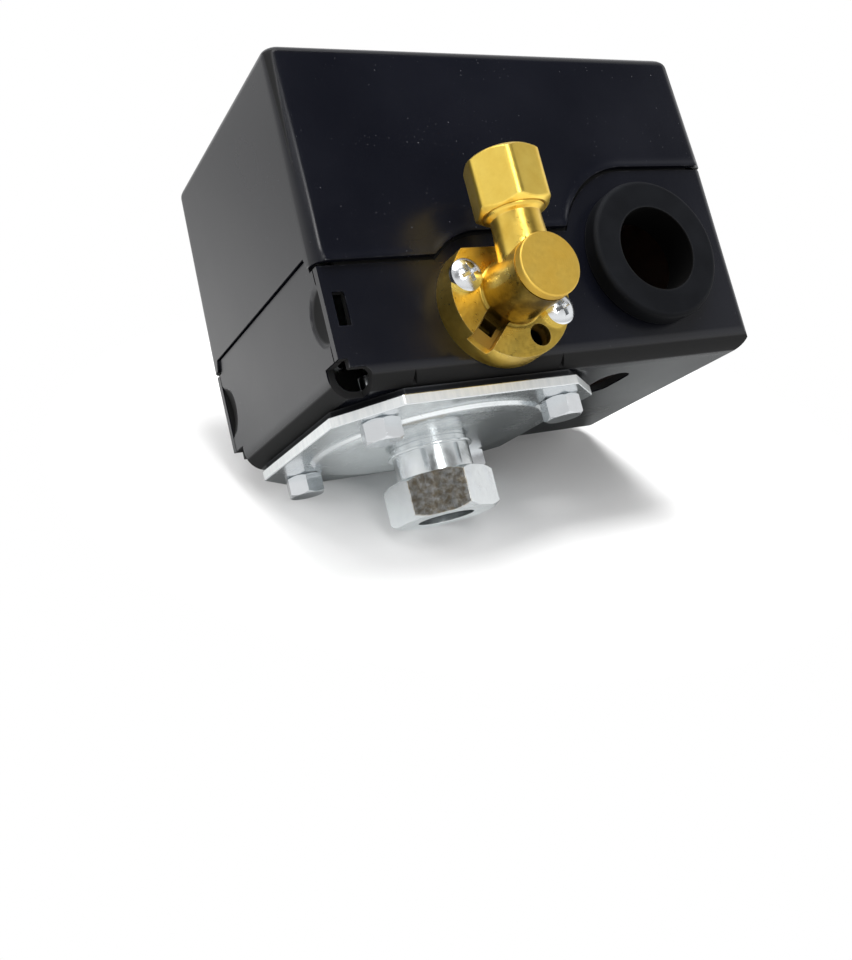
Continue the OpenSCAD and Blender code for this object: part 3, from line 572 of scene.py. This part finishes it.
def cover_piece():
    """The pressed cover: a drawn shell with a rolled top edge and a lightly flared skirt."""
    wall = 1.0 * MM
    draw_r = 2.3 * MM
    flare = 0.35 * MM
    flare_height, swell_height = 1.3 * MM, 6 * MM
    lean_x, lean_y = 0.7 * MM, 1.1 * MM
    corner_y = 4.1 * MM
    low_z, mid_z, side_z, high_z = (h * MM + base_low.z for h in (23.0, 27.3, 25.2, 39.4))
    lean_z = low_z - 2 * MM
    valve_r = mid_z - valve.z
    grommet_r = high_z - grommet.z
    left, right = cover_low.x + 0.02 * MM, cover_high.x - 0.02 * MM
    near, far = cover_low.y + flare, cover_high.y - flare
    top_z = cover_high.z
    wall_top = top_z - draw_r
    across_steps, depth_steps, corner_steps, wall_steps, roll_steps = 150, 60, 10, 14, 8
    centre = Vector(((left + right) / 2, (near + far) / 2))
    half = Vector(((right - left) / 2, (far - near) / 2))

    def skirt_edge(x, y):
        """Height of the skirt's lower edge: steps up to the right, and arcs over valve and grommet."""
        if x < left + 3 * MM and near + corner_y < y < far - corner_y:
            return side_z
        heights = [low_z]
        if x > valve.x:
            heights.append(mid_z)
        if x > grommet.x:
            heights.append(high_z)
        for arch, radius in ((valve, valve_r), (grommet, grommet_r)):
            if abs(x - arch.x) < radius:
                heights.append(arch.z + math.sqrt(radius ** 2 - (x - arch.x) ** 2))
        return max(heights)

    def corner(cx, cy, start):
        turns = [math.radians(start + 90 * i / corner_steps) for i in range(1, corner_steps)]
        return [(cx + draw_r * math.cos(a), cy + draw_r * math.sin(a)) for a in turns]

    def outline():
        """Points round the cover, dense enough across it for the skirt's arcs."""
        span, depth = right - left - 2 * draw_r, far - near - 2 * draw_r
        along = [left + draw_r + span * i / across_steps for i in range(across_steps + 1)]
        back = [near + draw_r + depth * i / depth_steps for i in range(depth_steps + 1)]
        points = [(x, near) for x in along] + corner(right - draw_r, near + draw_r, -90)
        points += [(right, y) for y in back] + corner(right - draw_r, far - draw_r, 0)
        points += [(x, far) for x in reversed(along)] + corner(left + draw_r, far - draw_r, 90)
        points += [(left, y) for y in reversed(back)] + corner(left + draw_r, near + draw_r, 180)
        return points

    def place(x, y, z, inset=0.0):
        """Leans an outline point in by its height, then draws it in by inset at the top edge."""
        share = (z - lean_z) / (top_z - lean_z)
        dx, dy = x - centre.x, y - centre.y
        px = dx * (1 - (lean_x * share + inset) / half.x)
        py = dy * (1 - (lean_y * share + inset) / half.y)
        return Vector((centre.x + px, centre.y + py, z))

    def wall_point(x, y, z, edge_z):
        """A point of the wall; front and rear are flared at the skirt and faintly uneven above it."""
        p = place(x, y, z)
        if abs(y - near) < 0.1 * MM or abs(y - far) < 0.1 * MM:
            out = flare * math.exp(-((z - edge_z) / flare_height) ** 2)
            p.y += -out if y < centre.y else out
            p.y += noise.noise(p * 28) * 0.10 * MM * min(1.0, (z - edge_z) / swell_height)
        return p

    def wall_heights(edge_z):
        """Heights up the wall: close together over the flare, then even up to the rolled edge."""
        low = [edge_z + h * MM for h in (0, 0.25, 0.6, 1.0, 1.6, 2.4, 3.6)]
        return low + [low[-1] + (wall_top - low[-1]) * k / wall_steps for k in range(1, wall_steps + 1)]

    bm = bmesh.new()
    points = outline()
    columns = [wall_heights(skirt_edge(x, y)) for x, y in points]
    rows = []
    for k in range(len(columns[0])):
        rows.append([bm.verts.new(wall_point(x, y, column[k], column[0]))
                     for (x, y), column in zip(points, columns)])
    for i in range(1, roll_steps + 1):
        a = math.radians(90 * i / roll_steps)
        inset = draw_r * (1 - math.cos(a))
        z = wall_top + draw_r * math.sin(a)
        rows.append([bm.verts.new(place(x, y, z, inset)) for x, y in points])
    for row, after in zip(rows, rows[1:]):
        join_rings(bm, row, after)

    # the top closes with shrinking rings, and leaves the captive screw's hole open
    hole_mid = middle("cover_screw")
    hole_r = 2.4 * MM
    rim = [v.co.copy() for v in rows[-1]]
    last = rows[-1]
    for share in (0.85, 0.6, 0.35, 0.12, 0.0):
        ring = []
        for start in rim:
            toward = (start - hole_mid).to_2d().normalized() * hole_r
            goal = Vector((hole_mid.x + toward.x, hole_mid.y + toward.y, top_z))
            p = goal.lerp(start, share)
            p.z = top_z
            ring.append(bm.verts.new(p))
        join_rings(bm, last, ring)
        last = ring
    bmesh.ops.recalc_face_normals(bm, faces=bm.faces)
    obj = new_mesh("cover.pressed", bm)
    sheet = obj.modifiers.new("sheet", "SOLIDIFY")
    sheet.thickness = wall
    sheet.offset = -1
    round_edges(obj, 0.2 * MM, segments=2, angle=50)
    weighted_normals(obj)
    dress(obj, "cover")


def coil_piece(node, wire_r, turns, axis):
    """A smooth wound spring that fills the CAD coil's box; its turns lie closer at its ends and
    middle, as unevenness says."""
    per_turn, sides = 40, 14
    unevenness = 0.045
    low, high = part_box(node)
    centre = (low + high) / 2
    length = (high - low)[axis]
    side, other = (axis + 1) % 3, (axis + 2) % 3
    mean_r = (high - low)[side] / 2 - wire_r
    steps = int(turns * per_turn)
    bm = bmesh.new()
    rings = []
    for i in range(steps + 1):
        angle = 2 * math.pi * i / per_turn
        share = i / steps
        eased = share - unevenness * math.sin(4 * math.pi * share)
        along = low[axis] + wire_r + (length - 2 * wire_r) * min(max(eased, 0), 1)
        ring = []
        for k in range(sides):
            b = 2 * math.pi * k / sides
            r = mean_r + wire_r * math.cos(b)
            p = Vector((0, 0, 0))
            p[axis] = along + wire_r * math.sin(b)
            p[side] = centre[side] + r * math.cos(angle)
            p[other] = centre[other] + r * math.sin(angle)
            ring.append(bm.verts.new(p))
        rings.append(ring)
    for ring, after in zip(rings, rings[1:]):
        join_rings(bm, ring, after)
    bm.faces.new(rings[0][::-1])
    bm.faces.new(rings[-1])
    bmesh.ops.recalc_face_normals(bm, faces=bm.faces)
    dress(new_mesh(node + ".wound", bm), node)


nut_piece()
cover_piece()
coil_piece("range_spring", 0.9 * MM, 7, 2)
coil_piece("differential_spring", 0.5 * MM, 11, 2)
coil_piece("valve_spring", 0.3 * MM, 5, 1)

# every CAD node still shown takes its slot's material
for node_name, obj in frame["nodes"].items():
    obj.data.materials.clear()
    obj.data.materials.append(looks[slot_of[node_name]])

# ---- stage ----------------------------------------------------------------------------

TABLE_TONES = ((0.86, 0.86, 0.86, 1), (0.90, 0.90, 0.90, 1))
REFLECTED_TABLE = (0.27, 0.28, 0.28, 1)


def floor_piece():
    """A pale table under the tipped switch, fading out before its edge and open from below. In
    reflections it is pale only round the switch's foot and grey elsewhere, as the brass shows it, and it
    glows faintly round the foot: a painted reflection."""
    size = 0.26
    # the table's middle, level with the rest point, and the foot in the table's own coordinates
    spot = REST_POINT + Vector((33, 35, 16)) * MM
    spot -= UP * (spot - REST_POINT).dot(UP)
    lie = Matrix.Translation(spot) @ UP.to_track_quat("Z", "Y").to_matrix().to_4x4()
    foot = lie.inverted() @ (Vector((0, 12, 0)) * MM)
    s = Shader("pale_table", Roughness=0.55, Specular_IOR_Level=0.3)
    pale = s.mix(s.noise(30, 3), *TABLE_TONES)
    mirrored = s.node("ShaderNodeLightPath").outputs["Is Glossy Ray"]
    near = s.ramp(s.radius(foot, 2), 0.012, 0.026, 1.0, 0.0)
    s.set("Base Color", s.mix(mirrored, pale, s.mix(near, REFLECTED_TABLE, pale)))
    # painted reflection: the table glows only in reflections, and only round the foot
    s.set("Emission Color", (0.95, 1.0, 1.0, 1))
    s.set("Emission Strength", s.math("MULTIPLY", s.math("MULTIPLY", mirrored, near), 0.26))
    faded = s.ramp(s.length(s.coords), 0.040, 0.098, 1.0, 0.0)
    below = s.node("ShaderNodeNewGeometry").outputs["Backfacing"]
    s.set("Alpha", s.math("MULTIPLY", faded, s.math("SUBTRACT", 1.0, below)))
    bm = bmesh.new()
    bmesh.ops.create_circle(bm, cap_ends=True, radius=size / 2, segments=64)
    obj = new_mesh("table", bm, smooth=False)
    obj.data.materials.append(s.material)
    obj.matrix_world = lie


# How bright the room is, from straight down (0) to straight up (1).
ROOM_LEVELS = (
    (0.0, 0.9), (0.29, 1.4), (0.40, 0.6), (0.48, 0.95), (0.60, 1.0), (0.82, 0.65), (1.0, 0.40),
)
# Dim parts of the room, each a direction, its core and edge in degrees, and a factor: in front
# right, above that, in front left near the camera, and low behind the switch.
DIM_PATCHES = (
    ((0.45, -0.87, 0.18), 9, 21, 0.90),
    ((0.41, -0.76, 0.52), 14, 30, 0.08),
    ((-0.51, -0.85, 0.16), 8, 16, 0.22),
    ((0.476, 0.865, -0.157), 13, 25, 0.10),
)
# The room's strength in reflections and, much weaker, as light on surfaces.
MIRRORED_ROOM, LIGHTING_ROOM = 2.05, 0.55


def world_light():
    """White behind everything; in reflections a pale table below and a room that dims upward."""
    world = bpy.data.worlds.new("studio")
    scene.world = world
    world.use_nodes = True
    n = Nodes(world.node_tree)
    n.tree.nodes.clear()
    looking = n.node("ShaderNodeTexCoord").outputs["Generated"]

    def along(direction):
        """How far a ray looks along a direction, from 0 (opposite) to 1."""
        return n.ramp(n.dot(looking, Vector(direction).normalized()), -1.0, 1.0)

    def levels(source, stops):
        """Grey levels over a value. They are halved, as a colour ramp holds no more than 1."""
        made = n.node("ShaderNodeValToRGB")
        while len(made.color_ramp.elements) < len(stops):
            made.color_ramp.elements.new(0.5)
        for element, (place, level) in zip(made.color_ramp.elements, stops):
            element.position = place
            element.color = (level / 2, level / 2, level / 2, 1)
        n.put(source, made.inputs[0])
        return made.outputs[0]

    def patch(direction, core, edge, level):
        """A factor that is at its level within core degrees of a direction, and 1 past the edge."""
        near, far = ((math.cos(math.radians(a)) + 1) / 2 for a in (core, edge))
        return n.ramp(along(direction), far, near, 1.0, level, interpolation_type="SMOOTHSTEP")

    brightness = levels(along(UP), ROOM_LEVELS)
    for dim in DIM_PATCHES:
        brightness = n.mix(1.0, brightness, patch(*dim), blend_type="MULTIPLY")
    path = n.node("ShaderNodeLightPath")
    room = n.node("ShaderNodeBackground")
    n.put(brightness, room.inputs["Color"])
    strength = n.ramp(path.outputs["Is Diffuse Ray"], 0.0, 1.0, MIRRORED_ROOM, LIGHTING_ROOM)
    n.put(strength, room.inputs["Strength"])
    seen = n.node("ShaderNodeBackground")
    n.put((1, 1, 1, 1), seen.inputs["Color"])
    pick = n.node("ShaderNodeMixShader")
    n.put(path.outputs["Is Camera Ray"], pick.inputs[0])
    n.put(room.outputs[0], pick.inputs[1])
    n.put(seen.outputs[0], pick.inputs[2])
    n.put(pick.outputs[0], n.node("ShaderNodeOutputWorld").inputs["Surface"])


# Soft lights: name, direction from the switch, distance and size in metres, power, and whether
# reflections show it.
LIGHTS = (
    ("overhead", UP + Vector((-0.15, 0.25, 0.1)), 0.75, (0.55, 0.55), 2.6, True),
    ("table_light", UP + Vector((0.10, 0.05, 0.0)), 0.70, (0.40, 0.40), 9.5, False),
    ("right_low", Vector((0.9, -0.42, 0.12)), 0.6, (0.35, 0.3), 0.8, False),
    ("left_window", Vector((-0.9, -0.30, 0.35)), 0.7, (0.25, 0.5), 1.2, False),
    ("front_low", Vector((0.45, -0.80, -0.30)), 0.6, (0.3, 0.3), 0.25, False),
    ("front_lamp", Vector((-0.40, -0.60, 0.70)), 0.8, (0.16, 0.16), 0.9, True),
    ("strip", Vector((-0.13, -0.98, 0.156)), 0.8, (0.20, 0.5), 2.2, True),
)


def soft_light(name, direction, distance, size, power, mirrored):
    """A rectangular soft light that looks at the switch from a direction."""
    data = bpy.data.lights.new(name, "AREA")
    data.shape = "RECTANGLE"
    data.size, data.size_y = size
    data.energy = power
    lamp = bpy.data.objects.new(name, data)
    lamp.visible_glossy = mirrored
    scene.collection.objects.link(lamp)
    aim = (base_low + cover_high) / 2
    toward = direction.normalized()
    lamp.location = aim + toward * distance
    lamp.rotation_mode = "QUATERNION"
    lamp.rotation_quaternion = toward.to_track_quat("Z", "Y")


# The camera, where the photo was taken: in front left, and a little below the switch in its own
# frame. As the switch is tipped back, that is above the table.
EYE = Vector((-113.71, -202.09, -28.50)) * MM
AHEAD = Vector((0.47642, 0.86518, 0.15650))
TOP = Vector((0.13810, -0.24943, 0.95850))
LENS, SENSOR = 44.67, 36


def camera():
    data = bpy.data.cameras.new("camera")
    data.sensor_width = SENSOR
    data.lens = LENS
    data.clip_start, data.clip_end = 0.01, 10
    obj = bpy.data.objects.new("camera", data)
    scene.collection.objects.link(obj)
    ahead = AHEAD.normalized()
    right = ahead.cross(TOP).normalized()
    top = right.cross(ahead)
    obj.matrix_world = Matrix.Translation(EYE) @ Matrix((right, top, -ahead)).transposed().to_4x4()
    scene.camera = obj


floor_piece()
world_light()
for light in LIGHTS:
    soft_light(*light)
camera()
scene.view_settings.view_transform = "Standard"
